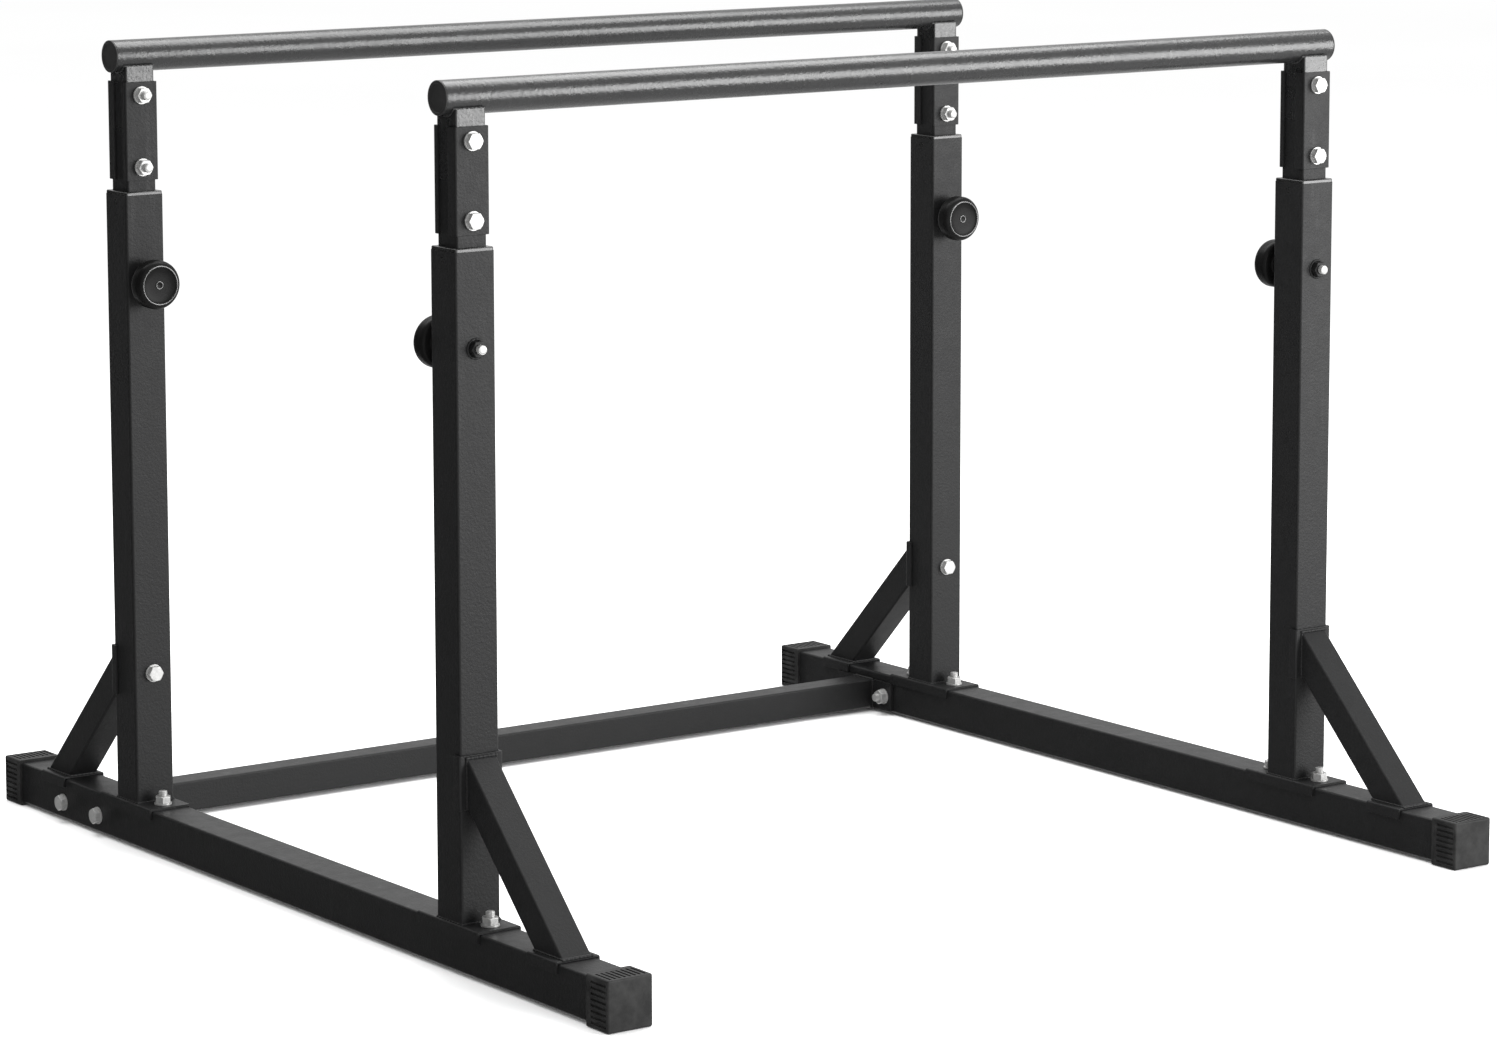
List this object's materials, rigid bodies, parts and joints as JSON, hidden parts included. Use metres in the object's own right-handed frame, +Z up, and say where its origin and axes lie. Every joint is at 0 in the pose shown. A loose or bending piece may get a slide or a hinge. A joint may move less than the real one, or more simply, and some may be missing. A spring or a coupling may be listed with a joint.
{
  "type": "height-adjustable parallel bars",
  "caption": "Free-standing parallel bars: round grip bars on telescoping square posts with knob locks, on a braced, bolted floor frame.",
  "frame": {"origin": "on the floor, at the middle of the frame", "axes": "+X along the grip bars, +Y along the floor rails towards the cross beam end, +Z up"},
  "size_m": [1.2668, 1.34, 0.968],
  "materials": {
    "frame_paint": "black powder coat, fine texture, low gloss",
    "bar_paint": "black powder coat, smoother, satin",
    "cap_rubber": "moulded black rubber, ribbed",
    "knob_plastic": "moulded black plastic",
    "plug_plastic": "moulded black plastic",
    "bush_plastic": "black nylon",
    "zinc": "bright zinc plating"
  },
  "bodies": {
    "floor_frame": {"beam_bolts": "zinc", "beam_nuts": "zinc", "brace_bolts": "zinc", "brace_rail_plates": "frame_paint", "brace_upright_plates": "frame_paint", "brace_weld_nuts": "zinc", "cross_beam": "frame_paint", "cross_beam_end_plates": "frame_paint", "frame_washers": "zinc", "front_left_brace": "frame_paint", "front_left_rail_cap": "cap_rubber", "front_left_upright": "frame_paint", "front_right_brace": "frame_paint", "front_right_rail_cap": "cap_rubber", "front_right_upright": "frame_paint", "guide_bushes": "bush_plastic", "left_floor_rail": "frame_paint", "lock_weld_nuts": "frame_paint", "rear_left_brace": "frame_paint", "rear_left_rail_cap": "cap_rubber", "rear_left_upright": "frame_paint", "rear_right_brace": "frame_paint", "rear_right_rail_cap": "cap_rubber", "rear_right_upright": "frame_paint", "right_floor_rail": "frame_paint", "saddle_bolts": "zinc", "saddle_nuts": "zinc", "upright_saddles": "frame_paint"},
    "front_bar_set": {"front_bar": "bar_paint", "front_bar_end_plugs": "plug_plastic", "front_inner_splices": "frame_paint", "front_left_post": "frame_paint", "front_legs": "bar_paint", "front_outer_splices": "frame_paint", "front_right_post": "frame_paint", "front_splice_bolts": "zinc", "front_splice_nuts": "zinc", "front_splice_washers": "zinc"},
    "rear_bar_set": {"rear_bar": "bar_paint", "rear_bar_end_plugs": "plug_plastic", "rear_inner_splices": "frame_paint", "rear_left_post": "frame_paint", "rear_legs": "bar_paint", "rear_outer_splices": "frame_paint", "rear_right_post": "frame_paint", "rear_splice_bolts": "zinc", "rear_splice_nuts": "zinc", "rear_splice_washers": "zinc"},
    "front_left_lock_slide": {"front_left_lock_washer": "zinc"},
    "front_left_lock_screw": {"front_left_lock_bolt": "zinc", "front_left_knob": "knob_plastic"},
    "front_right_lock_slide": {"front_right_lock_washer": "zinc"},
    "front_right_lock_screw": {"front_right_lock_bolt": "zinc", "front_right_knob": "knob_plastic"},
    "rear_left_lock_slide": {"rear_left_lock_washer": "zinc"},
    "rear_left_lock_screw": {"rear_left_lock_bolt": "zinc", "rear_left_knob": "knob_plastic"},
    "rear_right_lock_slide": {"rear_right_lock_washer": "zinc"},
    "rear_right_lock_screw": {"rear_right_lock_bolt": "zinc", "rear_right_knob": "knob_plastic"}
  },
  "joints": [
    {"name": "front_bar_height", "type": "slide", "parent": "floor_frame", "child": "front_bar_set", "axis": [0, 0, 1], "range_m": [0, 0.24]},
    {"name": "rear_bar_height", "type": "slide", "parent": "floor_frame", "child": "rear_bar_set", "axis": [0, 0, 1], "range_m": [0, 0.24]},
    {"name": "front_left_lock_draw", "type": "slide", "parent": "floor_frame", "child": "front_left_lock_slide", "axis": [0, 1, 0], "range_m": [0, 0.062]},
    {"name": "front_left_lock_turn", "type": "hinge", "parent": "front_left_lock_slide", "child": "front_left_lock_screw", "pos_m": [-0.6, -0.3324, 0.682], "axis": [0, 1, 0], "continuous": true},
    {"name": "front_right_lock_draw", "type": "slide", "parent": "floor_frame", "child": "front_right_lock_slide", "axis": [0, 1, 0], "range_m": [0, 0.062]},
    {"name": "front_right_lock_turn", "type": "hinge", "parent": "front_right_lock_slide", "child": "front_right_lock_screw", "pos_m": [0.6, -0.3324, 0.682], "axis": [0, 1, 0], "continuous": true},
    {"name": "rear_left_lock_draw", "type": "slide", "parent": "floor_frame", "child": "rear_left_lock_slide", "axis": [0, -1, 0], "range_m": [0, 0.062]},
    {"name": "rear_left_lock_turn", "type": "hinge", "parent": "rear_left_lock_slide", "child": "rear_left_lock_screw", "pos_m": [-0.6, 0.3324, 0.682], "axis": [0, -1, 0], "continuous": true},
    {"name": "rear_right_lock_draw", "type": "slide", "parent": "floor_frame", "child": "rear_right_lock_slide", "axis": [0, -1, 0], "range_m": [0, 0.062]},
    {"name": "rear_right_lock_turn", "type": "hinge", "parent": "rear_right_lock_slide", "child": "rear_right_lock_screw", "pos_m": [0.6, 0.3324, 0.682], "axis": [0, -1, 0], "continuous": true}
  ]
}
